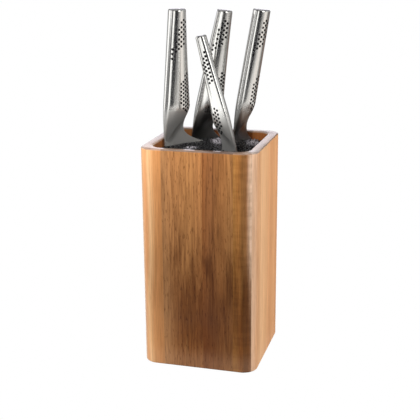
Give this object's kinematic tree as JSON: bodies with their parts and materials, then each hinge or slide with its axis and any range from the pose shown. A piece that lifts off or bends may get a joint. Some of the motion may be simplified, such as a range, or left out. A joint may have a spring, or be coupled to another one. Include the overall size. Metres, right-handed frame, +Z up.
{
  "type": "knife block with knives",
  "caption": "Tall square wooden knife block with rounded corners, a lift-out bristle insert, and all-steel knives that each draw out of the bristles.",
  "frame": {"origin": "centre of the block's footprint, on the surface it stands on", "axes": "+Z up along the block, -Y out of the front face, +X to the right seen from the front"},
  "size_m": [0.115, 0.115, 0.3464],
  "materials": {
    "wood_pale": "satin lacquer, pale sapwood stave",
    "wood_tan": "satin lacquer, orange-tan stave",
    "wood_brown": "satin lacquer, mid-brown stave",
    "wood_dark": "satin lacquer, dark figured stave",
    "base_wood": "plain sanded board",
    "foot_rubber": "matte",
    "insert_plastic": "moulded, matte",
    "bristle_plastic": "thin moulded rods, semi-matte",
    "blade_steel": "fine satin",
    "handle_steel": "satin, nearly polished, with black-filled dimples",
    "balance_fill": "loose grains"
  },
  "bodies": {
    "block": {"front_stave_1": "wood_pale", "front_stave_2": "wood_brown", "front_stave_3": "wood_brown", "front_stave_4": "wood_dark", "right_stave_1": "wood_pale", "right_stave_2": "wood_tan", "right_stave_3": "wood_tan", "right_stave_4": "wood_tan", "back_stave_1": "wood_tan", "back_stave_2": "wood_dark", "back_stave_3": "wood_brown", "back_stave_4": "wood_pale", "left_stave_1": "wood_tan", "left_stave_2": "wood_brown", "left_stave_3": "wood_tan", "left_stave_4": "wood_pale", "base_board": "base_wood", "rubber_foot_1": "foot_rubber", "rubber_foot_2": "foot_rubber", "rubber_foot_3": "foot_rubber", "rubber_foot_4": "foot_rubber"},
    "bristle_insert": {"insert_base_plate": "insert_plastic", "bristle_bundle": "bristle_plastic"},
    "chef_knife": {"chef_knife_blade": "blade_steel", "chef_knife_handle_shell_1": "handle_steel", "chef_knife_handle_shell_2": "handle_steel", "chef_knife_balance_fill": "balance_fill"},
    "santoku_knife": {"santoku_knife_blade": "blade_steel", "santoku_knife_handle_shell_1": "handle_steel", "santoku_knife_handle_shell_2": "handle_steel", "santoku_knife_balance_fill": "balance_fill"},
    "utility_knife": {"utility_knife_blade": "blade_steel", "utility_knife_handle_shell_1": "handle_steel", "utility_knife_handle_shell_2": "handle_steel", "utility_knife_balance_fill": "balance_fill"},
    "paring_knife": {"paring_knife_blade": "blade_steel", "paring_knife_handle_shell_1": "handle_steel", "paring_knife_handle_shell_2": "handle_steel", "paring_knife_balance_fill": "balance_fill"}
  },
  "joints": [
    {"name": "insert_lift", "type": "slide", "parent": "block", "child": "bristle_insert", "axis": [0, 0, 1], "range_m": [0, 0.212]},
    {"name": "chef_knife_draw", "type": "slide", "parent": "bristle_insert", "child": "chef_knife", "axis": [0.0035, -0.0262, 0.9997], "range_m": [0, 0.193]},
    {"name": "santoku_knife_draw", "type": "slide", "parent": "bristle_insert", "child": "santoku_knife", "axis": [0.1167, 0.0069, 0.9931], "range_m": [0, 0.155]},
    {"name": "utility_knife_draw", "type": "slide", "parent": "bristle_insert", "child": "utility_knife", "axis": [0.1132, 0.0052, 0.9936], "range_m": [0, 0.17]},
    {"name": "paring_knife_draw", "type": "slide", "parent": "bristle_insert", "child": "paring_knife", "axis": [-0.1976, -0.0257, 0.9799], "range_m": [0, 0.083]}
  ]
}
